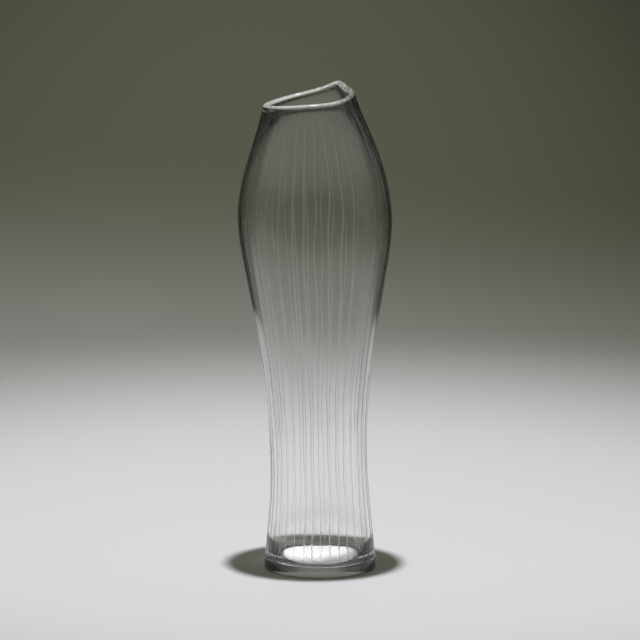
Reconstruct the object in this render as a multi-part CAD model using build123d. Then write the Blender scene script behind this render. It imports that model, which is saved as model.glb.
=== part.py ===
from build123d import *
import math
import os

# Driving sizes of a tall blown-glass vase, in millimetres.
# The origin is the centre of the foot's flat rest face, +Z is up and the body leans towards -X.

# Foot: a solid base with a short upright band, a small bevel and thick rounded corners inside
foot_radius = 34.2
foot_band_height = 8.8
foot_step = 0.5
foot_bevel = 0.6
floor_thickness = 5.0
floor_corner_width = 6.0
floor_corner_height = 16.0

# Wall where it rises from the foot
seat_radius = 32.6
seat_wall = 2.9

# Waist, the narrowest ring
waist_height = 73.0
waist_radius = 29.6
waist_lean = -0.9
waist_wall_thickness = 2.4

# Belly, the widest ring
belly_height = 216.0
belly_radius = 47.1
belly_lean = -3.2
belly_wall_thickness = 1.9

# Mouth, measured at the middle of the lip where the lip is lowest
mouth_height = 285.4
mouth_radius = 28.9
mouth_lean = -5.3
mouth_wall_thickness = 3.0

# Above that height the wall keeps narrowing and leaning at a steady rate
mouth_taper_share = 0.29
mouth_lean_taper_share = 0.06

# Height at which the waist section ends and the belly section begins.
# The belly section ends and the shoulder section begins at the widest ring.
waist_top_height = 125.0

# Lip: a rounded bead that slants across the mouth and rises to one soft peak
lip_rise = 11.8
lip_half_width = 1.9
lip_half_height = 1.2

# Room for cutting tools beyond what they cut
cut_overrun = 6.0

# Rings between two named ones, as shares of the way from the lower ring to the upper ring:
# height, radius, lean and wall
seat_to_waist_shares = [
    (0.45, 0.73, 0.22, 0.45),
]
waist_to_belly_shares = [
    (0.27, 0.126, 0.27, 0.27),
    (0.54, 0.434, 0.50, 0.54),
    (0.79, 0.811, 0.78, 0.79),
]
belly_to_mouth_shares = [
    (0.33, 0.158, 0.05, 0.15),
    (0.66, 0.538, 0.24, 0.50),
]

# The lip's height round the mouth: angle in degrees from +X towards +Y, share of the lip's rise
lip_height_shares = [
    (-165.0, 0.00),
    (-125.0, 0.12),
    (-90.0, 0.25),
    (-60.0, 0.33),
    (-35.0, 0.46),
    (-10.0, 0.60),
    (12.0, 0.71),
    (30.0, 0.85),
    (43.0, 1.00),
    (57.0, 0.86),
    (75.0, 0.60),
    (95.0, 0.38),
    (120.0, 0.17),
    (150.0, 0.00),
]

# Worked out from the sizes above
seat_height = floor_thickness + floor_corner_height
wall_top_height = mouth_height + lip_rise + cut_overrun


def rings_between(lower, upper, shares):
    """Rings part of the way from one ring to another, each as height, radius, lean and wall."""
    rings = []
    for ring_shares in shares:
        rings.append(tuple(a + (b - a) * share for a, b, share in zip(lower, upper, ring_shares)))
    return rings


def ring_above_mouth(height):
    """The ring that the narrowing wall has at or above the mouth's low side."""
    climb = height - mouth_height
    radius = mouth_radius - climb * mouth_taper_share
    lean = mouth_lean - climb * mouth_lean_taper_share
    return (height, radius, lean, mouth_wall_thickness)


def wall_rings():
    """All rings of the outer wall from the foot to just above the lip."""
    seat = (seat_height, seat_radius, 0.0, seat_wall)
    waist = (waist_height, waist_radius, waist_lean, waist_wall_thickness)
    belly = (belly_height, belly_radius, belly_lean, belly_wall_thickness)
    mouth = ring_above_mouth(mouth_height)
    rings = [seat]
    rings += rings_between(seat, waist, seat_to_waist_shares)
    rings.append(waist)
    rings += rings_between(waist, belly, waist_to_belly_shares)
    rings.append(belly)
    rings += rings_between(belly, mouth, belly_to_mouth_shares)
    rings.append(mouth)
    rings.append(ring_above_mouth(wall_top_height))
    return rings


def ring_loft(inset_by_wall):
    """The body inside the outer wall surface, or inside the inner one when inset by the wall."""
    discs = []
    for height, radius, lean, wall in wall_rings():
        disc_radius = radius - wall if inset_by_wall else radius
        discs.append(Pos(lean, 0, height) * Circle(disc_radius))
    return loft(discs)


def lip_loop(inset):
    """The closed curve along the lip's middle height, at an inset from the outer wall surface."""
    points = []
    for angle, height_share in lip_height_shares:
        height = mouth_height + lip_rise * height_share
        _, radius, lean, _ = ring_above_mouth(height)
        turn = math.radians(angle)
        reach = radius - inset
        points.append((lean + reach * math.cos(turn), reach * math.sin(turn), height))
    return Spline(*points, periodic=True)


def make_foot_base():
    """The base, with the hollow's floor and its tall rounded corner turned into the top."""
    hollow_radius = seat_radius - seat_wall
    floor_radius = hollow_radius - floor_corner_width
    step_radius = foot_radius - foot_step
    step_height = foot_band_height - foot_step
    outside = Polyline(
        (0, floor_thickness),
        (0, 0),
        (foot_radius - foot_bevel, 0),
        (foot_radius, foot_bevel),
        (foot_radius, step_height),
        (step_radius, foot_band_height),
        (seat_radius, seat_height),
        (hollow_radius, seat_height),
    )
    corner = EllipticalCenterArc(
        (floor_radius, seat_height),
        floor_corner_width,
        floor_corner_height,
        start_angle=-90,
        arc_size=90,
    )
    floor = Line((floor_radius, floor_thickness), (0, floor_thickness))
    outline = make_face(Plane.XZ * (outside + corner + floor))
    return revolve(outline, Axis.Z)


def make_rim_lip():
    """The fire-polished bead, an oval section that stays upright round the slanting mouth."""
    path = lip_loop(mouth_wall_thickness / 2).edge()
    upright_guide = path.moved(Pos(0, 0, lip_rise))
    section_plane = Plane(origin=path @ 0, x_dir=(0, 0, 1), z_dir=path % 0)
    section = section_plane * Ellipse(lip_half_height, lip_half_width)
    return sweep(section, path=path, binormal=upright_guide)


def make_space_above_lip_line():
    """A thick ring that takes away the wall above the lip's middle height."""
    inner_loop = lip_loop(mouth_wall_thickness + cut_overrun)
    outer_loop = lip_loop(-cut_overrun)
    ribbon = Face.make_surface_from_curves(inner_loop.edge(), outer_loop.edge())
    return extrude(ribbon, amount=lip_rise + cut_overrun * 2, dir=(0, 0, 1))


def wall_between(shell, low_height, high_height):
    """The stretch of the hollow wall between two level cuts."""
    above = split(shell, bisect_by=Plane(origin=(0, 0, low_height)), keep=Keep.TOP)
    return split(above, bisect_by=Plane(origin=(0, 0, high_height)), keep=Keep.BOTTOM)


def make_shoulder_wall(shell, lip):
    """The wall from the widest ring in to the mouth, with its top edge fitted under the lip."""
    shoulder = split(shell, bisect_by=Plane(origin=(0, 0, belly_height)), keep=Keep.TOP)
    return shoulder - make_space_above_lip_line() - lip


def main():
    os.makedirs("parts", exist_ok=True)
    shell = ring_loft(False) - ring_loft(True)
    lip = make_rim_lip()
    sections = {
        "foot_base": make_foot_base(),
        "waist_wall": wall_between(shell, seat_height, waist_top_height),
        "belly_wall": wall_between(shell, waist_top_height, belly_height),
        "shoulder_wall": make_shoulder_wall(shell, lip),
        "rim_lip": lip,
    }
    for name, shape in sections.items():
        export_step(shape, os.path.join("parts", name + ".step"))


main()
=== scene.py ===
import math

import bpy
import numpy as np
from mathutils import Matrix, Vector


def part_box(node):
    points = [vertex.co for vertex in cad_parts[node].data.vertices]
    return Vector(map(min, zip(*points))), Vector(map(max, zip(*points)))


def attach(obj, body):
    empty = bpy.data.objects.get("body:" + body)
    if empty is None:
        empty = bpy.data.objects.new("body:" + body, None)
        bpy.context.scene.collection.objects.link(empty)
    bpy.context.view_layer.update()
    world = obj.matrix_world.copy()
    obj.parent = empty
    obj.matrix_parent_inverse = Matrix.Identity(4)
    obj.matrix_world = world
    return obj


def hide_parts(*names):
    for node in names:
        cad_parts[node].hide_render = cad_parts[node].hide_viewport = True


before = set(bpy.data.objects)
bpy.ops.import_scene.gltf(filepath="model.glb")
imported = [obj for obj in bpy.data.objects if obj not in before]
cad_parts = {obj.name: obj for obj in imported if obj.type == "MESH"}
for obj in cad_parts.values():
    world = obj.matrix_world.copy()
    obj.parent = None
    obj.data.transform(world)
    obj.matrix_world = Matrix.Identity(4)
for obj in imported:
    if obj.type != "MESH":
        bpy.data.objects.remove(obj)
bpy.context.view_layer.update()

# A clear glass vase as one skin of glass, on a pale sheet under a small lamp.
# All lengths are in metres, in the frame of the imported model: +Z up, the foot's rest face at z = 0.
MM = 0.001

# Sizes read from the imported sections
foot_low, foot_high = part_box("foot_base")
_, belly_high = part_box("belly_wall")
shoulder_low, shoulder_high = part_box("shoulder_wall")
FOOT_RADIUS = (foot_high.x - foot_low.x) / 2
SEAT_HEIGHT = foot_high.z
BELLY_HEIGHT = belly_high.z
BELLY_RADIUS = (shoulder_high.x - shoulder_low.x) / 2
BELLY_LEAN = (shoulder_high.x + shoulder_low.x) / 2

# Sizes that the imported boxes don't show, as the sections have them
FOOT_BEVEL = 0.6 * MM
FOOT_BAND_HEIGHT = 8.8 * MM
FOOT_STEP = 0.5 * MM
FLOOR_THICKNESS = 5.0 * MM
FLOOR_CORNER_WIDTH = 6.0 * MM
SEAT_RADIUS = 32.6 * MM
SEAT_WALL = 2.9 * MM
WAIST_HEIGHT = 73.0 * MM
WAIST_RADIUS = 29.6 * MM
WAIST_LEAN = -0.9 * MM
WAIST_WALL = 2.4 * MM
BELLY_WALL = 1.9 * MM
MOUTH_HEIGHT = 285.4 * MM
MOUTH_RADIUS = 28.9 * MM
MOUTH_LEAN = -5.3 * MM
MOUTH_WALL = 3.0 * MM
MOUTH_TAPER = 0.29
MOUTH_LEAN_TAPER = 0.06
LIP_RISE = 11.8 * MM
LIP_HALF_WIDTH = 1.9 * MM
LIP_HALF_HEIGHT = 1.2 * MM
WALL_OVERRUN = 6.0 * MM

# The skin stays this far inside the solids, so that rounding never takes it out of their box
SKIN = 0.03 * MM

# Rings between two named ones, as shares of the way up: height, radius, lean and wall
SEAT_TO_WAIST_SHARES = [(0.45, 0.73, 0.22, 0.45)]
WAIST_TO_BELLY_SHARES = [
    (0.27, 0.126, 0.27, 0.27),
    (0.54, 0.434, 0.50, 0.54),
    (0.79, 0.811, 0.78, 0.79),
]
BELLY_TO_MOUTH_SHARES = [(0.33, 0.158, 0.05, 0.15), (0.66, 0.538, 0.24, 0.50)]

# The lip's height round the mouth: angle in degrees from +X towards +Y, share of the lip's rise
LIP_HEIGHT_SHARES = [
    (-165.0, 0.00), (-125.0, 0.12), (-90.0, 0.25), (-60.0, 0.33), (-35.0, 0.46),
    (-10.0, 0.60), (12.0, 0.71), (30.0, 0.85), (43.0, 1.00), (57.0, 0.86),
    (75.0, 0.60), (95.0, 0.38), (120.0, 0.17), (150.0, 0.00),
]

# The thicker, inward-leaning stretch of lip beside its peak: its place and spread in degrees, then how much
# thicker and lower its inner side is, and how far down the wall that fades
LIP_SPOUT_ANGLE = 22.0
LIP_SPOUT_SPREAD = 24.0
LIP_SPOUT_DEPTH = 0.8 * MM
LIP_SPOUT_DROP = 0.6 * MM
LIP_SPOUT_FADE = 6.0 * MM

# How far down from the lip the wall's swelling towards it reaches, on the outside and on the inside
LIP_SWELL_OUTSIDE = 2.4 * MM
LIP_SWELL_INSIDE = 9.0 * MM

# The wall ends and the lip's round top begins this far below the lip's middle height, and on the inner side
# a little lower
LIP_ROUND_DROP = 0.7 * MM
LIP_INNER_DROP = 0.25 * MM

# Angles across the lip's round top, in degrees from its outer side over the top to its inner side
LIP_SECTION_ANGLES = [12, 26, 40, 56, 73, 90, 107, 124, 140, 154, 168]

# Rows of faces that the lip's painted bloom covers on the near half, where the lip's inner side stays clear
LIP_TOP_ROWS = 7

# The foot's outline from the middle outwards, as rings of the mesh.
# On the rest face: shares of the ground disc's radius
DISC_RADIUS = 17.3 * MM
DISC_RING_SHARES = (0.2, 0.6, 1.0, 1.3)
# Round the bevel: shares of its size inwards and upwards
BEVEL_RING_SHARES = [(1.0, 0.0), (0.4, 0.3), (0.1, 0.7), (0.0, 1.4), (0.0, 1.9)]
# Up the band: shares of its height
BAND_RING_SHARES = (0.35, 0.65)
# Round the small step: shares of its size inwards and down from its top
STEP_RING_SHARES = [(0.0, 2.2), (0.0, 1.6), (0.15, 1.0), (0.6, 0.45), (1.0, 0.0)]

# Rows of faces that the ground disc takes, and those that round off the small step
DISC_ROWS = 2
STEP_ROWS = (13, 15)

# The ring at the rest face's edge
REST_EDGE_RING = len(DISC_RING_SHARES)

# Material slots of the mesh
CLEAR_SLOT, CUT_SLOT, DISC_SLOT, FOOT_SLOT, LIP_SLOT = range(5)

# Cut lines: shallow round-bottomed grooves ground up the outside by hand, with their sizes at the belly
CUT_COUNT = 36
CUT_HALF_WIDTH = 0.55 * MM
CUT_DEPTH = 0.1 * MM
CUT_SEED = 17

# Each line's own width and depth lie in this range of shares
CUT_SIZE_RANGE = (0.8, 1.2)

# A line narrows and flattens with the body's radius to this power
CUT_NARROWING = 1.05

# Where lines begin above the foot's band and end below the lip, and how far they take to run out there
CUT_FOOT_CLEARANCE = 0.2 * MM
CUT_FOOT_TAPER = 2.0 * MM
CUT_LIP_CLEARANCE = (4.0 * MM, 7.0 * MM)
CUT_LIP_TAPER = 45.0 * MM

# At its very end a line keeps this share of its width, and is matt down to this share of its depth
CUT_END_WIDTH = 0.35
CUT_SHOWN_DEPTH_SHARE = 0.05

# Each line sways sideways in a few slow waves, which grow to their full height within the lowest eighth
CUT_WAVE_COUNT = 3
CUT_WAVE_LENGTHS = (45.0 * MM, 120.0 * MM)
CUT_WAVE_HEIGHT = 0.35 * MM
CUT_WAVE_GROWTH = 8

# Angles off the front, in degrees to the right, of the lines that face the viewer
FRONT_CUT_ANGLES = [-40.4, -28.8, -17.0, -8.4, 0.5, 11.0, 20.9, 30.7, 41.5]

# The other lines are evenly spaced, but for a random part in degrees, and for a turn that grows towards the
# back so that the lines there show between those at the front
CUT_ANGLE_JITTER = 1.3
CUT_BACK_SHIFT = 5.0

# Columns of the glass mesh: across one cut, then across the clear strip to the next
CUT_COLUMN_SHARES = [-1.0, -0.6, 0.0, 0.6, 1.0]
STRIP_COLUMN_SHARES = [0.25, 0.5, 0.75]

# Rows of the glass mesh up the outside and down the inside, and how much finer they get at both ends
OUTER_ROWS = 150
OUTER_EASING = 0.55
INNER_ROWS = 90
INNER_EASING = 0.4

# Rows of the hollow's rounded corner, and rings on its flat floor as shares of the floor's radius
CORNER_ROWS = 22
FLOOR_RING_SHARES = (0.8, 0.55, 0.3, 0.1)

# Hand-blown unevenness of the inner surface: waves round the body, waves per metre up, and their height
INNER_WAVES = [(2, 5.0, 0.05 * MM), (3, -8.0, 0.04 * MM), (5, 13.0, 0.025 * MM), (8, 21.0, 0.012 * MM)]
WAVE_SEED = 5

# Tiny bubbles caught in the thick base, placed by shares of the foot's area and of the band's height
BUBBLE_COUNT = 14
BUBBLE_RADII = (0.10 * MM, 0.24 * MM)
BUBBLE_AREA_SHARES = (0.5, 0.85)
BUBBLE_HEIGHT_SHARES = (0.25, 0.75)
BUBBLE_SEED = 8

# Rows and sides of a bubble's mesh, and how far its flat ends are from its poles, as a share of a row
BUBBLE_ROWS = 5
BUBBLE_SIDES = 8
BUBBLE_END = 0.15

# Glass: how strongly it bends light, and its colour in thin walls, in thick parts and where it is ground
GLASS_IOR = 1.5
THIN_GLASS_COLOUR = (0.996, 0.998, 0.995)
THICK_GLASS_COLOUR = (0.985, 0.988, 0.985)
CUT_COLOUR = (0.98, 0.985, 0.98)
DISC_COLOUR = (1.0, 0.975, 0.93)

# Lamp light that passes straight through glass seen square on falls off by this power towards its edges
SLANT_FALL = 0.8

# The powdery bloom in the cut lines
CUT_BLOOM_COLOUR = (0.9, 0.9, 0.82)
CUT_BLOOM_SHARE = 0.06

# Painted brightness on the lip, as a white bloom: its share, more in patches of the noise, less to the
# right as painted shade
LIP_PAINTED_BLOOM_COLOUR = (0.95, 0.95, 0.87)
LIP_PAINTED_BLOOM_SHARE = 0.42
LIP_PAINTED_BLOOM_PATCHES = 0.35
LIP_PAINTED_BLOOM_PATCH_EDGES = (0.3, 0.7)
LIP_PAINTED_SHADE_LOSS = 0.28
LIP_PAINTED_SHADE_FADE = (6.0 * MM, 20.0 * MM)

# Camera: distance in metres, angles in degrees, lens and sensor in millimetres
CAMERA_DISTANCE = 3.4
CAMERA_RISE = 12.4
CAMERA_TILT = 9.908
CAMERA_LENS = 318.8
CAMERA_SENSOR = 36.0

# Light: a small lamp above the vase, made of a bright pool and its wide spill, in a dim room.
# The cones are in degrees, and each aim is a place on the floor.
LAMP_PLACE = (0.0, -0.08, 1.59)
LAMP_RADIUS = 0.032
LAMP_COLOUR = (0.943, 0.943, 1.0)
POOL_POWER = 58.1
POOL_CONE = 47.3
POOL_BLEND = 0.884
POOL_AIM = (0.024, 0.109)
SPILL_POWER = 29.3
SPILL_CONE = 107.8
SPILL_BLEND = 0.762
SPILL_AIM = (-0.505, -0.148)
ROOM_LIGHT = (0.121, 0.121, 0.085)

# The backdrop beyond the floor: its colour low down and, from a height given as a sine, higher up
BACKDROP_LOW = (0.02, 0.02, 0.016)
BACKDROP_HIGH = (0.01, 0.01, 0.009)
BACKDROP_RISE = 0.35

# A dim strip of wall far behind the vase, seen only in the glass: its soft edges across and up, as sines
WALL_COLOUR = (0.13, 0.135, 0.12)
WALL_ACROSS = (0.40, 0.18)
WALL_LOW = (0.13, 0.18)
WALL_HIGH = (0.28, 0.24)

# Floor: a dark table with a pale sheet on it, the sheet's colour darkened by painted shade
FLOOR_RADIUS = 20.0
FLOOR_SIDES = 64
FLOOR_GAP = 0.1 * MM
TABLE_COLOUR = (0.03, 0.03, 0.028)
SHEET_COLOUR = (0.80, 0.80, 0.80)

# The sheet behind the vase: its middle line, half its width, and how far back it is rounded off to nothing
SHEET_MIDDLE = 0.008
SHEET_HALF_WIDTH = 0.40
SHEET_ROUND_BACK = 0.82

# Farther back it spreads like a wedge, by this much each way per metre
SHEET_SPREAD = 0.405

# Its wide front part: a straight front edge, and a back edge that runs back a little towards the sides
SHEET_FRONT = 0.545
SHEET_WING_BACK = 0.21
SHEET_WING_SPREAD = 0.06

# How far its soft edges reach to both sides of the line, at the front and elsewhere
SHEET_FRONT_BLUR = 0.12
SHEET_EDGE_BLUR = 0.025

# Painted shade on the sheet, standing in for room light falling off: its brightest place, and how far from
# there it would turn black, across and back.
# Across, the painted dimming grows from none beside the vase to full at a distance behind it, up to a
# limit.
SHEET_PAINTED_BRIGHTEST = (-0.080, 1.591)
SHEET_PAINTED_DIMMING = (0.631, 5.573)
SHEET_PAINTED_DIMMING_GROWTH = 1.5
SHEET_PAINTED_SIDE_DIMMING_MOST = 0.45


def spline_bends(xs, ys):
    """Second derivatives of the natural cubic spline through the points."""
    count = len(xs)
    steps = np.diff(xs)
    slopes = np.diff(ys) / steps
    system = np.eye(count)
    target = np.zeros(count)
    for i in range(1, count - 1):
        system[i, i - 1] = steps[i - 1]
        system[i, i] = 2 * (steps[i - 1] + steps[i])
        system[i, i + 1] = steps[i]
        target[i] = 6 * (slopes[i] - slopes[i - 1])
    return np.linalg.solve(system, target)


def smooth_through(points):
    """A function that follows a natural cubic spline through (x, y) points."""
    xs = np.array([x for x, _ in points])
    ys = np.array([y for _, y in points])
    bends = spline_bends(xs, ys)

    def value(x):
        x = np.asarray(x, float)
        i = np.clip(np.searchsorted(xs, x) - 1, 0, len(xs) - 2)
        step = xs[i + 1] - xs[i]
        before = (xs[i + 1] - x) / step
        after = (x - xs[i]) / step
        straight = before * ys[i] + after * ys[i + 1]
        bent = (before**3 - before) * bends[i] + (after**3 - after) * bends[i + 1]
        return straight + bent * step**2 / 6

    return value


def rings_between(lower, upper, shares):
    """Rings part of the way from one ring to another, each as height, radius, lean and wall."""
    rings = []
    for ring_shares in shares:
        rings.append(tuple(a + (b - a) * share for a, b, share in zip(lower, upper, ring_shares)))
    return rings


def wall_rings():
    """The rings that the glass wall passes through, from the foot to just above the lip."""
    climb = LIP_RISE + WALL_OVERRUN
    seat = (SEAT_HEIGHT, SEAT_RADIUS, 0.0, SEAT_WALL)
    waist = (WAIST_HEIGHT, WAIST_RADIUS, WAIST_LEAN, WAIST_WALL)
    belly = (BELLY_HEIGHT, BELLY_RADIUS, BELLY_LEAN, BELLY_WALL)
    mouth = (MOUTH_HEIGHT, MOUTH_RADIUS, MOUTH_LEAN, MOUTH_WALL)
    top = (
        MOUTH_HEIGHT + climb,
        MOUTH_RADIUS - climb * MOUTH_TAPER,
        MOUTH_LEAN - climb * MOUTH_LEAN_TAPER,
        MOUTH_WALL,
    )
    rings = [seat]
    rings += rings_between(seat, waist, SEAT_TO_WAIST_SHARES)
    rings.append(waist)
    rings += rings_between(waist, belly, WAIST_TO_BELLY_SHARES)
    rings.append(belly)
    rings += rings_between(belly, mouth, BELLY_TO_MOUTH_SHARES)
    rings += [mouth, top]
    return rings


RINGS = wall_rings()
ring_radius = smooth_through([(height, radius) for height, radius, _, _ in RINGS])
ring_lean = smooth_through([(height, lean) for height, _, lean, _ in RINGS])
ring_wall = smooth_through([(height, wall) for height, _, _, wall in RINGS])


def lip_height_spline():
    """The lip's middle height as a smooth function of the angle in degrees, round and round."""
    points = []
    for turn in (-360.0, 0.0, 360.0):
        for angle, share in LIP_HEIGHT_SHARES:
            points.append((angle + turn, MOUTH_HEIGHT + LIP_RISE * share))
    return smooth_through(points)


lip_height_at = lip_height_spline()


def wrapped(degrees):
    """An angle brought between -180 and 180 degrees."""
    return (np.asarray(degrees) + 180.0) % 360.0 - 180.0


def outer_radius(height):
    """Outer radius of the clear glass above the foot's small step."""
    step_radius = FOOT_RADIUS - FOOT_STEP
    share = (height - FOOT_BAND_HEIGHT) / (SEAT_HEIGHT - FOOT_BAND_HEIGHT)
    below_seat = step_radius + (SEAT_RADIUS - step_radius) * share
    return np.where(height < SEAT_HEIGHT, below_seat, ring_radius(height)) - SKIN


def body_lean(height):
    """How far the body's centre has moved along X at a height."""
    return np.where(height < SEAT_HEIGHT, 0.0, ring_lean(height))


def spout_bump(angles):
    """1 in the middle of the thick stretch of lip, fading to 0 on both sides."""
    return np.exp(-((wrapped(angles - LIP_SPOUT_ANGLE) / LIP_SPOUT_SPREAD) ** 2))


class CutLines:
    """The hand-ground lines: where each one runs, how deep and how wide it is."""

    def __init__(self):
        draw = np.random.default_rng(CUT_SEED)
        angles = [-90.0 + angle for angle in FRONT_CUT_ANGLES]
        last_front = angles[-1]
        free = CUT_COUNT - len(FRONT_CUT_ANGLES)
        spread = 360.0 - (FRONT_CUT_ANGLES[-1] - FRONT_CUT_ANGLES[0])
        for step in range(1, free + 1):
            jitter = draw.uniform(-CUT_ANGLE_JITTER, CUT_ANGLE_JITTER)
            share = step / (free + 1)
            shift = CUT_BACK_SHIFT * math.sin(math.pi * share)
            angles.append(last_front + spread * share + shift + jitter)
        waves = (CUT_WAVE_COUNT, CUT_COUNT)
        self.angles = np.array(angles)
        self.wave_starts = draw.uniform(0.0, 2 * math.pi, waves)
        self.wave_lengths = draw.uniform(*CUT_WAVE_LENGTHS, waves)
        self.half_widths = CUT_HALF_WIDTH * draw.uniform(*CUT_SIZE_RANGE, CUT_COUNT)
        self.depths = CUT_DEPTH * draw.uniform(*CUT_SIZE_RANGE, CUT_COUNT)
        self.lip_clearances = draw.uniform(*CUT_LIP_CLEARANCE, CUT_COUNT)

    def top(self):
        """Height at which each line runs out below the lip."""
        return lip_height_at(wrapped(self.angles)) - self.lip_clearances

    def presence(self, heights):
        """How fully each line is there at its height, from 0 at its ends to 1."""
        low = FOOT_BAND_HEIGHT + CUT_FOOT_CLEARANCE
        rise = np.clip((heights - low) / CUT_FOOT_TAPER, 0.0, 1.0)
        fall = np.clip((self.top() - heights) / CUT_LIP_TAPER, 0.0, 1.0)
        return np.minimum(rise, fall)

    def wander(self, heights):
        """Sideways drift of each line at its height, as a length along the surface."""
        waves = np.sin(2 * math.pi * heights / self.wave_lengths + self.wave_starts)
        return CUT_WAVE_HEIGHT * waves.sum(axis=0)


cuts = CutLines()


def column_layout():
    """For each mesh column: the cut it belongs to or follows, its place across, and if it is in the cut."""
    columns = []
    for cut in range(CUT_COUNT):
        for share in CUT_COLUMN_SHARES:
            columns.append((cut, share, True))
        for share in STRIP_COLUMN_SHARES:
            columns.append((cut, share, False))
    return columns


COLUMNS = column_layout()
COLUMN_COUNT = len(COLUMNS)
CUT_OF = np.array([cut for cut, _, _ in COLUMNS])
PLACE = np.array([share for _, share, _ in COLUMNS])
IN_CUT = np.array([in_cut for _, _, in_cut in COLUMNS])
NEXT_CUT = (CUT_OF + 1) % CUT_COUNT
CUT_MIDDLES = np.flatnonzero(IN_CUT & (PLACE == 0.0))


def column_angles(centres, half_widths):
    """The angle of every column, in degrees, from each cut's centre and half width in degrees."""
    next_centres = centres[NEXT_CUT] + np.where(NEXT_CUT == 0, 360.0, 0.0)
    left = centres[CUT_OF] + half_widths[CUT_OF]
    right = next_centres - half_widths[NEXT_CUT]
    in_strip = left + (right - left) * PLACE
    across_cut = centres[CUT_OF] + half_widths[CUT_OF] * PLACE
    return np.where(IN_CUT, across_cut, in_strip)


def plain_angles():
    """Column angles where no cut runs: on the lip, the inside and the foot."""
    return column_angles(cuts.angles, np.degrees(cuts.half_widths / MOUTH_RADIUS))


PLAIN_ANGLES = plain_angles()
LIP_HEIGHTS = lip_height_at(wrapped(PLAIN_ANGLES))


def ring_points(angles, radii, heights, leans):
    """One ring of mesh points."""
    turns = np.radians(angles)
    xs = leans + radii * np.cos(turns)
    ys = radii * np.sin(turns)
    return np.column_stack([xs, ys, np.broadcast_to(heights, xs.shape)])


def easing_rows(count, edge_share):
    """Shares from 0 to 1 whose steps are finer at both ends."""
    steps = np.linspace(0.0, 1.0, count)
    return steps - edge_share * np.sin(2 * math.pi * steps) / (2 * math.pi)


def lip_swell(drop, reach):
    """How far the wall swells at a drop below the lip."""
    return (LIP_HALF_WIDTH - MOUTH_WALL / 2) * np.exp(-((drop / reach) ** 2))


def foot_rings():
    """The rest face, the bevel, the upright band and the small step, from the middle outwards."""
    zero = np.zeros(COLUMN_COUNT)
    outside = FOOT_RADIUS - SKIN
    profile = [(DISC_RADIUS * share, 0.0) for share in DISC_RING_SHARES]
    for inwards, up in BEVEL_RING_SHARES:
        profile.append((outside - FOOT_BEVEL * inwards, FOOT_BEVEL * up))
    for share in BAND_RING_SHARES:
        profile.append((outside, FOOT_BAND_HEIGHT * share))
    for inwards, down in STEP_RING_SHARES:
        profile.append((outside - FOOT_STEP * inwards, FOOT_BAND_HEIGHT - FOOT_STEP * down))
    return [ring_points(PLAIN_ANGLES, radius + zero, height, zero) for radius, height in profile]


def outer_wall_rings():
    """The outside wall with its cut lines, and how deep the cut is at each point."""
    rings = []
    depths = []
    low = FOOT_BAND_HEIGHT + CUT_FOOT_CLEARANCE
    round_bottom = np.where(IN_CUT, 1.0 - PLACE**2, 0.0)
    for share in easing_rows(OUTER_ROWS, OUTER_EASING):
        heights = low + (LIP_HEIGHTS - LIP_ROUND_DROP - low) * share
        cut_heights = heights[CUT_MIDDLES]
        radii = outer_radius(cut_heights)
        narrow = (radii / BELLY_RADIUS) ** CUT_NARROWING
        presence = cuts.presence(cut_heights)
        width_share = CUT_END_WIDTH + (1.0 - CUT_END_WIDTH) * np.sqrt(presence)
        half_widths = cuts.half_widths * narrow * width_share
        drift = cuts.wander(cut_heights) * narrow * min(share * CUT_WAVE_GROWTH, 1.0)
        centres = cuts.angles + np.degrees(drift / radii)
        angles = column_angles(centres, np.degrees(half_widths / radii))
        depth = cuts.depths[CUT_OF] * (presence * narrow)[CUT_OF] * round_bottom
        wall = outer_radius(heights) + lip_swell(LIP_HEIGHTS - heights, LIP_SWELL_OUTSIDE)
        rings.append(ring_points(angles, wall - depth, heights, body_lean(heights)))
        depths.append(depth)
    return rings, depths


def lip_rings():
    """The round top of the wall, from its outside to its inside."""
    bump = spout_bump(PLAIN_ANGLES)
    middle = outer_radius(LIP_HEIGHTS) - MOUTH_WALL / 2
    lean = body_lean(LIP_HEIGHTS)
    rings = []
    for angle in LIP_SECTION_ANGLES:
        across = math.cos(math.radians(angle))
        up = math.sin(math.radians(angle))
        inward = max(-across, 0.0)
        half_width = LIP_HALF_WIDTH - SKIN + LIP_SPOUT_DEPTH * bump * inward
        heights = LIP_HEIGHTS - LIP_ROUND_DROP - (LIP_INNER_DROP + LIP_SPOUT_DROP * bump) * inward
        heights = heights + (LIP_HALF_HEIGHT + LIP_ROUND_DROP - SKIN) * up
        rings.append(ring_points(PLAIN_ANGLES, middle + half_width * across, heights, lean))
    return rings


def inner_waves(angles, heights):
    """Hand-blown unevenness of the inside, in metres."""
    draw = np.random.default_rng(WAVE_SEED)
    turns = np.radians(angles)
    total = np.zeros_like(turns)
    for round_count, up_count, size in INNER_WAVES:
        phase = draw.uniform(0.0, 2 * math.pi)
        total += size * np.sin(round_count * turns + up_count * heights * 2 * math.pi + phase)
    return total


def inner_wall_rings():
    """The inside wall from under the lip down to the seat of the base."""
    bump = spout_bump(PLAIN_ANGLES)
    tops = LIP_HEIGHTS - LIP_ROUND_DROP - LIP_INNER_DROP - LIP_SPOUT_DROP * bump
    rings = []
    for share in easing_rows(INNER_ROWS, INNER_EASING):
        heights = tops + (SEAT_HEIGHT - tops) * share
        walls = ring_wall(heights) + lip_swell(tops - heights, LIP_SWELL_INSIDE)
        walls = walls + LIP_SPOUT_DEPTH * bump * np.exp(-(tops - heights) / LIP_SPOUT_FADE)
        fade = math.sin(math.pi * share)
        radii = outer_radius(heights) - walls + inner_waves(PLAIN_ANGLES, heights) * fade
        rings.append(ring_points(PLAIN_ANGLES, radii, heights, body_lean(heights)))
    return rings


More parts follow.
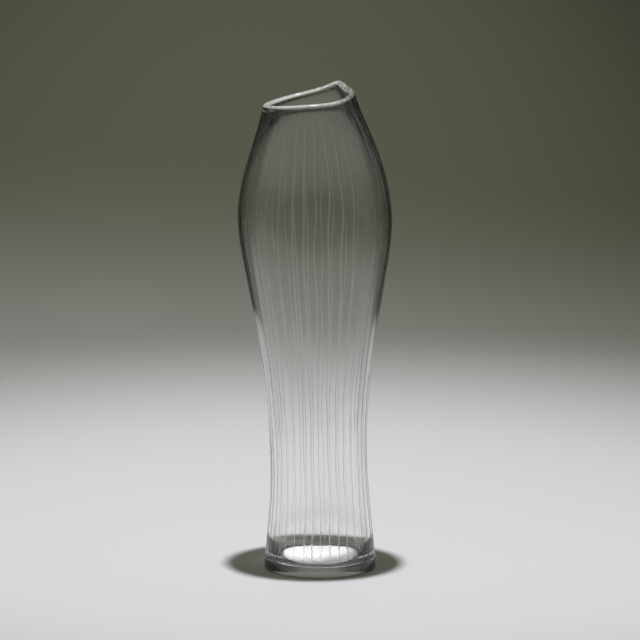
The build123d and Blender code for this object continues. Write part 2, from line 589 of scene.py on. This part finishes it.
def floor_rings():
    """The tall rounded corner and the flat floor of the hollow, ending near the middle."""
    zero = np.zeros(COLUMN_COUNT)
    hollow = SEAT_RADIUS - SEAT_WALL - SKIN
    flat = hollow - FLOOR_CORNER_WIDTH
    corner_height = SEAT_HEIGHT - FLOOR_THICKNESS
    rings = []
    for row in range(1, CORNER_ROWS + 1):
        turn = math.pi / 2 * row / CORNER_ROWS
        radius = flat + FLOOR_CORNER_WIDTH * math.cos(turn)
        height = SEAT_HEIGHT - corner_height * math.sin(turn)
        rings.append(ring_points(PLAIN_ANGLES, radius + zero, height, zero))
    for share in FLOOR_RING_SHARES:
        rings.append(ring_points(PLAIN_ANGLES, flat * share + zero, FLOOR_THICKNESS, zero))
    return rings


def one_bubble(centre, radius, start):
    """Points and faces of one bubble, facing inwards as a hollow does, its points numbered from a start."""
    points = []
    faces = []
    for row in range(BUBBLE_ROWS + 1):
        tilt = math.pi * (row + BUBBLE_END) / (BUBBLE_ROWS + 2 * BUBBLE_END)
        for side in range(BUBBLE_SIDES):
            turn = 2 * math.pi * side / BUBBLE_SIDES
            points.append((
                centre[0] + radius * math.sin(tilt) * math.cos(turn),
                centre[1] + radius * math.sin(tilt) * math.sin(turn),
                centre[2] + radius * math.cos(tilt),
            ))
    for row in range(BUBBLE_ROWS):
        for side in range(BUBBLE_SIDES):
            a = start + row * BUBBLE_SIDES + side
            b = start + row * BUBBLE_SIDES + (side + 1) % BUBBLE_SIDES
            faces.append((a, b, b + BUBBLE_SIDES, a + BUBBLE_SIDES))
    last_row = start + BUBBLE_ROWS * BUBBLE_SIDES
    faces.append(tuple(start + side for side in reversed(range(BUBBLE_SIDES))))
    faces.append(tuple(last_row + side for side in range(BUBBLE_SIDES)))
    return points, faces


def seed_bubbles(start):
    """Points and faces of all the tiny bubbles in the base, their points numbered from a start."""
    draw = np.random.default_rng(BUBBLE_SEED)
    points = []
    faces = []
    for _ in range(BUBBLE_COUNT):
        radius = draw.uniform(*BUBBLE_RADII)
        turn = draw.uniform(0.0, 2 * math.pi)
        reach = FOOT_RADIUS * math.sqrt(draw.uniform(*BUBBLE_AREA_SHARES))
        height = FOOT_BAND_HEIGHT * draw.uniform(*BUBBLE_HEIGHT_SHARES)
        centre = (reach * math.cos(turn), reach * math.sin(turn), height)
        bubble_points, bubble_faces = one_bubble(centre, radius, start + len(points))
        points += bubble_points
        faces += bubble_faces
    return points, faces


def grid_faces(ring_count):
    """Quads between neighbouring rings, facing outwards, row by row."""
    lower = np.arange(ring_count - 1)[:, None] * COLUMN_COUNT
    upper = lower + COLUMN_COUNT
    column = np.arange(COLUMN_COUNT)
    after = (column + 1) % COLUMN_COUNT
    quads = np.stack([lower + column, lower + after, upper + after, upper + column], axis=-1)
    return quads.reshape(-1, 4)


def mark_materials(mesh, first_ring, depths, first_fan):
    """Gives the cut lines, the disc under the foot, the rest of the foot and the lip their materials."""
    depth_of_cut = np.array(depths)[:, CUT_MIDDLES][:, CUT_OF]
    deep = depth_of_cut > CUT_DEPTH * CUT_SHOWN_DEPTH_SHARE
    in_line = deep[:-1] & deep[1:] & IN_CUT & (PLACE < 1.0)
    near_half = np.sin(np.radians(PLAIN_ANGLES)) < 0.0
    lip_start = first_ring + len(depths)
    slots = np.full(len(mesh.polygons), CLEAR_SLOT, np.int32)
    rows = slots[:first_fan].reshape(-1, COLUMN_COUNT)
    rows[:first_ring] = FOOT_SLOT
    rows[:DISC_ROWS] = DISC_SLOT
    rows[STEP_ROWS[0] : STEP_ROWS[1]] = CUT_SLOT
    rows[first_ring : first_ring + len(in_line)][in_line] = CUT_SLOT
    lip = rows[lip_start : lip_start + len(LIP_SECTION_ANGLES) - 1]
    lip[:] = LIP_SLOT
    lip[LIP_TOP_ROWS:, near_half] = CLEAR_SLOT
    slots[first_fan : first_fan + 2 * COLUMN_COUNT : 2] = DISC_SLOT
    mesh.polygons.foreach_set("material_index", slots)
    return deep


def mark_sharp_edges(mesh, first_ring, deep):
    """Keeps the borders of the cut lines and the edge of the rest face crisp."""
    ends = np.empty(len(mesh.edges) * 2, np.int32)
    mesh.edges.foreach_get("vertices", ends)
    ring, column = np.divmod(ends.reshape(-1, 2), COLUMN_COUNT)
    lower = ring.min(axis=1)
    row = np.clip(lower - first_ring, 0, len(deep) - 1)
    on_wall = (lower >= first_ring) & (ring.max(axis=1) < first_ring + len(deep))
    border = IN_CUT & (np.abs(PLACE) == 1.0)
    along_border = (column[:, 0] == column[:, 1]) & border[column[:, 0]]
    sharp = on_wall & along_border & deep[row, column[:, 0]]
    sharp |= (ring == REST_EDGE_RING).all(axis=1)
    attribute = mesh.attributes.new("sharp_edge", "BOOLEAN", "EDGE")
    attribute.data.foreach_set("value", sharp)


def make_vase():
    """The whole vase as one seamless, closed skin of glass."""
    foot = foot_rings()
    outer, depths = outer_wall_rings()
    rings = foot + outer + lip_rings() + inner_wall_rings() + floor_rings()
    points = np.concatenate(rings).tolist()
    centres = [(0.0, 0.0, 0.0), (0.0, 0.0, FLOOR_THICKNESS)]
    under = len(points)
    floor = under + 1
    bubble_points, bubble_faces = seed_bubbles(floor + 1)
    # The number of points before the last ring is also the number of quads between the rings
    last_ring = (len(rings) - 1) * COLUMN_COUNT
    fans = []
    for column in range(COLUMN_COUNT):
        after = (column + 1) % COLUMN_COUNT
        fans.append((under, after, column))
        fans.append((floor, last_ring + column, last_ring + after))
    mesh = bpy.data.meshes.new("vase_glass")
    faces = grid_faces(len(rings)).tolist() + fans + bubble_faces
    mesh.from_pydata(points + centres + bubble_points, [], faces)
    mesh.polygons.foreach_set("use_smooth", np.ones(len(mesh.polygons), bool))
    vase = bpy.data.objects.new("vase_glass", mesh)
    bpy.context.scene.collection.objects.link(vase)
    for material in (clear_glass(), ground_glass(), ground_disc(), foot_glass(), lip_glass()):
        mesh.materials.append(material)
    deep = mark_materials(mesh, len(foot), depths, first_fan=last_ring)
    mark_sharp_edges(mesh, len(foot), deep)
    mesh.validate()
    return vase


def feed(tree, value, socket):
    """Gives a socket a number or a colour, or links another socket to it."""
    if isinstance(value, float):
        socket.default_value = value
    elif isinstance(value, tuple):
        socket.default_value = (*value, 1.0)
    else:
        tree.links.new(value, socket)


def calculate(tree, operation, *values):
    """The outcome of one sum on sockets and plain numbers."""
    node = tree.nodes.new("ShaderNodeMath")
    node.operation = operation
    for value, socket in zip(values, node.inputs):
        feed(tree, value, socket)
    return node.outputs[0]


def soft_rise(tree, value, start, end):
    """0 at and beyond the start, rising softly to 1 at and beyond the end, in either direction."""
    step = tree.nodes.new("ShaderNodeMapRange")
    step.interpolation_type = "SMOOTHSTEP"
    step.inputs["From Min"].default_value = min(start, end)
    step.inputs["From Max"].default_value = max(start, end)
    step.inputs["To Min"].default_value = float(start > end)
    step.inputs["To Max"].default_value = float(start < end)
    tree.links.new(value, step.inputs["Value"])
    return step.outputs["Result"]


def even_rise(tree, value, end):
    """0 at and under zero, rising evenly to 1 at and beyond the end."""
    share = calculate(tree, "DIVIDE", value, end)
    return calculate(tree, "MINIMUM", calculate(tree, "MAXIMUM", share, 0.0), 1.0)


def mix_colours(tree, share, first, second):
    """The first colour with a share of the second."""
    mix = tree.nodes.new("ShaderNodeMix")
    mix.data_type = "RGBA"
    feed(tree, share, mix.inputs["Factor"])
    feed(tree, first, mix.inputs[6])
    feed(tree, second, mix.inputs[7])
    return mix.outputs[2]


def mix_shaders(tree, share, first, second):
    """The first shader with a share of the second."""
    mix = tree.nodes.new("ShaderNodeMixShader")
    feed(tree, share, mix.inputs[0])
    feed(tree, first, mix.inputs[1])
    feed(tree, second, mix.inputs[2])
    return mix.outputs[0]


def coordinates(tree, kind):
    """The X, Y and Z of one kind of shading coordinates."""
    place = tree.nodes.new("ShaderNodeTexCoord")
    split = tree.nodes.new("ShaderNodeSeparateXYZ")
    tree.links.new(place.outputs[kind], split.inputs[0])
    return split.outputs


def stretched_noise(tree, scale, stretch, detail):
    """Noise in the object's own space, drawn out up and down."""
    place = tree.nodes.new("ShaderNodeTexCoord")
    mapping = tree.nodes.new("ShaderNodeMapping")
    mapping.inputs["Scale"].default_value = (1.0, 1.0, stretch)
    noise = tree.nodes.new("ShaderNodeTexNoise")
    noise.inputs["Scale"].default_value = scale
    noise.inputs["Detail"].default_value = detail
    tree.links.new(place.outputs["Object"], mapping.inputs["Vector"])
    tree.links.new(mapping.outputs["Vector"], noise.inputs["Vector"])
    return noise.outputs[0]


def new_material(name):
    """An empty node material, its tree and its output."""
    material = bpy.data.materials.new(name)
    material.use_nodes = True
    material.node_tree.nodes.clear()
    output = material.node_tree.nodes.new("ShaderNodeOutputMaterial")
    return material, material.node_tree, output


def glass_shader(tree, colour, roughness, noise, bump_strength, bump_distance):
    """A clear transmitting surface with a slightly uneven skin."""
    shader = tree.nodes.new("ShaderNodeBsdfPrincipled")
    shader.inputs["Base Color"].default_value = (*colour, 1.0)
    shader.inputs["Roughness"].default_value = roughness
    shader.inputs["IOR"].default_value = GLASS_IOR
    shader.inputs["Transmission Weight"].default_value = 1.0
    bump = tree.nodes.new("ShaderNodeBump")
    bump.inputs["Strength"].default_value = bump_strength
    bump.inputs["Distance"].default_value = bump_distance
    tree.links.new(noise, bump.inputs["Height"])
    tree.links.new(bump.outputs["Normal"], shader.inputs["Normal"])
    return shader.outputs[0]


def frost_and_painted_bloom(tree, colour):
    """A white matt layer that glows on the lit side and lets half of the light through: frosting in cut
    lines, painted brightness on the lip.
    """
    lit = tree.nodes.new("ShaderNodeBsdfDiffuse")
    lit.inputs["Color"].default_value = (*colour, 1.0)
    behind = tree.nodes.new("ShaderNodeBsdfTranslucent")
    behind.inputs["Color"].default_value = (*colour, 1.0)
    return mix_shaders(tree, 0.5, lit.outputs[0], behind.outputs[0])


def lamp_light_passes(tree, shader, output, clear_share):
    """Lets lamp light through glass seen square on, and stops it where it meets glass at a slant."""
    path = tree.nodes.new("ShaderNodeLightPath")
    slant = tree.nodes.new("ShaderNodeLayerWeight")
    square_on = calculate(tree, "SUBTRACT", 1.0, slant.outputs["Facing"])
    passing = calculate(tree, "MULTIPLY", calculate(tree, "POWER", square_on, SLANT_FALL), clear_share)
    share = calculate(tree, "MULTIPLY", path.outputs["Is Shadow Ray"], passing)
    through = tree.nodes.new("ShaderNodeBsdfTransparent")
    mixed = mix_shaders(tree, share, shader, through.outputs[0])
    tree.links.new(mixed, output.inputs["Surface"])


def drawn_glass(name, colour, clear_share):
    """Polished glass with faint streaks where it was drawn while soft."""
    material, tree, output = new_material(name)
    streaks = stretched_noise(tree, scale=70.0, stretch=0.18, detail=1.5)
    glass = glass_shader(tree, colour, 0.0, streaks, bump_strength=0.12, bump_distance=0.3 * MM)
    lamp_light_passes(tree, glass, output, clear_share)
    return material


def clear_glass():
    """The clear wall, which lets nearly all lamp light through."""
    return drawn_glass("clear_glass", THIN_GLASS_COLOUR, clear_share=0.97)


def foot_glass():
    """The rest of the foot, whose curved inside bends most lamp light away."""
    return drawn_glass("foot_glass", THICK_GLASS_COLOUR, clear_share=0.2)


def ground_glass():
    """The matt inside of a cut line: rough glass with a powdery white bloom."""
    material, tree, output = new_material("ground_glass")
    grit = stretched_noise(tree, scale=2600.0, stretch=0.4, detail=3.0)
    rough = glass_shader(tree, CUT_COLOUR, 0.42, grit, bump_strength=0.5, bump_distance=0.04 * MM)
    mixed = mix_shaders(tree, CUT_BLOOM_SHARE, rough, frost_and_painted_bloom(tree, CUT_BLOOM_COLOUR))
    lamp_light_passes(tree, mixed, output, clear_share=0.6)
    return material


def ground_disc():
    """The disc in the middle of the rest face, ground fine and almost polished."""
    material, tree, output = new_material("ground_disc")
    mottle = stretched_noise(tree, scale=900.0, stretch=1.0, detail=4.0)
    fine = glass_shader(tree, DISC_COLOUR, 0.06, mottle, bump_strength=0.4, bump_distance=0.1 * MM)
    lamp_light_passes(tree, fine, output, clear_share=0.1)
    return material


def lip_glass():
    """The lip's round top, smoothed by hand, with a patchy white bloom of painted brightness and painted
    shade towards +X.
    """
    material, tree, output = new_material("lip_glass")
    lip_noise = stretched_noise(tree, scale=450.0, stretch=1.0, detail=4.0)
    smooth = glass_shader(tree, THICK_GLASS_COLOUR, 0.1, lip_noise, bump_strength=0.2, bump_distance=0.1 * MM)
    patches = soft_rise(tree, lip_noise, *LIP_PAINTED_BLOOM_PATCH_EDGES)
    # Painted shade: the lip's painted bloom thins from the middle towards +X
    lip_painted_shade = soft_rise(tree, coordinates(tree, "Object")["X"], *LIP_PAINTED_SHADE_FADE)
    share = calculate(tree, "ADD", calculate(tree, "MULTIPLY", patches, LIP_PAINTED_BLOOM_PATCHES), LIP_PAINTED_BLOOM_SHARE)
    share = calculate(tree, "SUBTRACT", share, calculate(tree, "MULTIPLY", lip_painted_shade, LIP_PAINTED_SHADE_LOSS))
    mixed = mix_shaders(tree, share, smooth, frost_and_painted_bloom(tree, LIP_PAINTED_BLOOM_COLOUR))
    lamp_light_passes(tree, mixed, output, clear_share=0.4)
    return material


def soft_step(tree, value, edge):
    """1 where a value is under an edge and 0 beyond it, with a narrow blur between."""
    return soft_rise(tree, value, edge + SHEET_EDGE_BLUR, edge - SHEET_EDGE_BLUR)


def sheet_half_width(tree, back):
    """Half the sheet's width: rounded off behind the vase, then spreading far back."""
    depth = calculate(tree, "DIVIDE", calculate(tree, "MAXIMUM", back, 0.0), SHEET_ROUND_BACK)
    left = calculate(tree, "SUBTRACT", 1.0, calculate(tree, "MULTIPLY", depth, depth))
    rounded = calculate(tree, "SQRT", calculate(tree, "MAXIMUM", left, 0.0))
    near = calculate(tree, "MULTIPLY", rounded, SHEET_HALF_WIDTH)
    return calculate(tree, "MAXIMUM", near, calculate(tree, "MULTIPLY", back, SHEET_SPREAD))


def sheet_cover(tree, place):
    """1 where the sheet lies and 0 on the bare table, with soft edges."""
    sideways = calculate(tree, "ABSOLUTE", calculate(tree, "SUBTRACT", place["X"], SHEET_MIDDLE))
    beyond_sides = calculate(tree, "SUBTRACT", sideways, sheet_half_width(tree, place["Y"]))
    wing_turn = calculate(tree, "MULTIPLY", sideways, SHEET_WING_SPREAD)
    on_wings = soft_step(tree, calculate(tree, "SUBTRACT", place["Y"], wing_turn), SHEET_WING_BACK)
    on_sheet = calculate(tree, "MAXIMUM", soft_step(tree, beyond_sides, 0.0), on_wings)
    behind_front = soft_rise(
        tree, place["Y"], -SHEET_FRONT - SHEET_FRONT_BLUR, -SHEET_FRONT + SHEET_FRONT_BLUR
    )
    return calculate(tree, "MULTIPLY", on_sheet, behind_front)


def sheet_painted_shade(tree, place):
    """Painted shade: how bright the sheet is painted, 1 at its brightest place, less across and back from
    there.
    """
    squares = []
    for axis, brightest, dimming in zip("XY", SHEET_PAINTED_BRIGHTEST, SHEET_PAINTED_DIMMING):
        reach = calculate(tree, "SUBTRACT", place[axis], brightest)
        reach = calculate(tree, "DIVIDE", reach, dimming)
        squares.append(calculate(tree, "MULTIPLY", reach, reach))
    across, back = squares
    across = calculate(tree, "MULTIPLY", across, even_rise(tree, place["Y"], SHEET_PAINTED_DIMMING_GROWTH))
    across = calculate(tree, "MINIMUM", across, SHEET_PAINTED_SIDE_DIMMING_MOST)
    painted_shade = calculate(tree, "SUBTRACT", calculate(tree, "SUBTRACT", 1.0, across), back)
    return calculate(tree, "MAXIMUM", painted_shade, 0.0)


def sheet_on_table():
    """Matt white where the sheet lies, darkened away from its brightest place by painted shade, and dark
    beyond its edges.
    """
    material, tree, output = new_material("floor")
    place = coordinates(tree, "Object")
    # The sheet's colour carries painted shade that stands in for the room light falling off
    cover_and_painted_shade = calculate(tree, "MULTIPLY", sheet_painted_shade(tree, place), sheet_cover(tree, place))
    shader = tree.nodes.new("ShaderNodeBsdfDiffuse")
    tree.links.new(mix_colours(tree, cover_and_painted_shade, TABLE_COLOUR, SHEET_COLOUR), shader.inputs["Color"])
    tree.links.new(shader.outputs[0], output.inputs["Surface"])
    return material


def make_floor():
    """The table with its sheet, a hair below the foot so that the two faces don't meet."""
    points = []
    for side in range(FLOOR_SIDES):
        turn = 2 * math.pi * side / FLOOR_SIDES
        points.append((FLOOR_RADIUS * math.cos(turn), FLOOR_RADIUS * math.sin(turn), -FLOOR_GAP))
    mesh = bpy.data.meshes.new("floor")
    mesh.from_pydata(points, [], [tuple(range(FLOOR_SIDES))])
    mesh.materials.append(sheet_on_table())
    floor = bpy.data.objects.new("floor", mesh)
    bpy.context.scene.collection.objects.link(floor)
    return floor


def add_lamp(name, power, cone, blend, aim):
    """One cone of light from the small lamp above the vase, aimed at a place on the floor."""
    light = bpy.data.lights.new(name, "SPOT")
    light.energy = power
    light.color = LAMP_COLOUR
    light.shadow_soft_size = LAMP_RADIUS
    light.spot_size = math.radians(cone)
    light.spot_blend = blend
    lamp = bpy.data.objects.new(name, light)
    lamp.location = LAMP_PLACE
    sight = Vector((*aim, 0.0)) - lamp.location
    lamp.rotation_euler = sight.to_track_quat("-Z", "Y").to_euler()
    lamp.visible_transmission = False
    bpy.context.scene.collection.objects.link(lamp)


def backdrop_colour(tree):
    """A backdrop that darkens upwards, with the dim strip of wall far behind the vase."""
    sight = coordinates(tree, "Generated")
    plain = mix_colours(tree, even_rise(tree, sight["Z"], BACKDROP_RISE), BACKDROP_LOW, BACKDROP_HIGH)
    on_wall = calculate(tree, "GREATER_THAN", sight["Y"], 0.0)
    across = calculate(tree, "ABSOLUTE", sight["X"])
    for direction, edges in ((across, WALL_ACROSS), (sight["Z"], WALL_LOW), (sight["Z"], WALL_HIGH)):
        on_wall = calculate(tree, "MULTIPLY", on_wall, soft_rise(tree, direction, *edges))
    return mix_colours(tree, on_wall, plain, WALL_COLOUR)


def make_room():
    """A dim room: soft even light on matt surfaces, and a backdrop that is seen or mirrored."""
    world = bpy.data.worlds.new("room")
    bpy.context.scene.world = world
    world.use_nodes = True
    tree = world.node_tree
    tree.nodes.clear()
    output = tree.nodes.new("ShaderNodeOutputWorld")
    backdrop = tree.nodes.new("ShaderNodeBackground")
    tree.links.new(backdrop_colour(tree), backdrop.inputs["Color"])
    fill = tree.nodes.new("ShaderNodeBackground")
    fill.inputs["Color"].default_value = (*ROOM_LIGHT, 1.0)
    path = tree.nodes.new("ShaderNodeLightPath")
    seen = calculate(tree, "MAXIMUM", path.outputs["Is Camera Ray"], path.outputs["Is Glossy Ray"])
    seen = calculate(tree, "MAXIMUM", seen, path.outputs["Is Transmission Ray"])
    mixed = mix_shaders(tree, seen, fill.outputs[0], backdrop.outputs[0])
    tree.links.new(mixed, output.inputs["Surface"])


def make_camera():
    """The camera at the photograph's angle."""
    data = bpy.data.cameras.new("camera")
    data.sensor_width = CAMERA_SENSOR
    data.lens = CAMERA_LENS
    camera = bpy.data.objects.new("camera", data)
    height = CAMERA_DISTANCE * math.tan(math.radians(CAMERA_RISE))
    camera.location = (0.0, -CAMERA_DISTANCE, height)
    camera.rotation_euler = (math.radians(90.0 - CAMERA_TILT), 0.0, 0.0)
    bpy.context.scene.collection.objects.link(camera)
    bpy.context.scene.camera = camera


vase = make_vase()
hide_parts("foot_base", "waist_wall", "belly_wall", "shoulder_wall", "rim_lip")
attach(vase, "root")

make_floor()
add_lamp("pool", POOL_POWER, POOL_CONE, POOL_BLEND, POOL_AIM)
add_lamp("spill", SPILL_POWER, SPILL_CONE, SPILL_BLEND, SPILL_AIM)
make_room()
make_camera()
bpy.context.scene.view_settings.view_transform = "Standard"
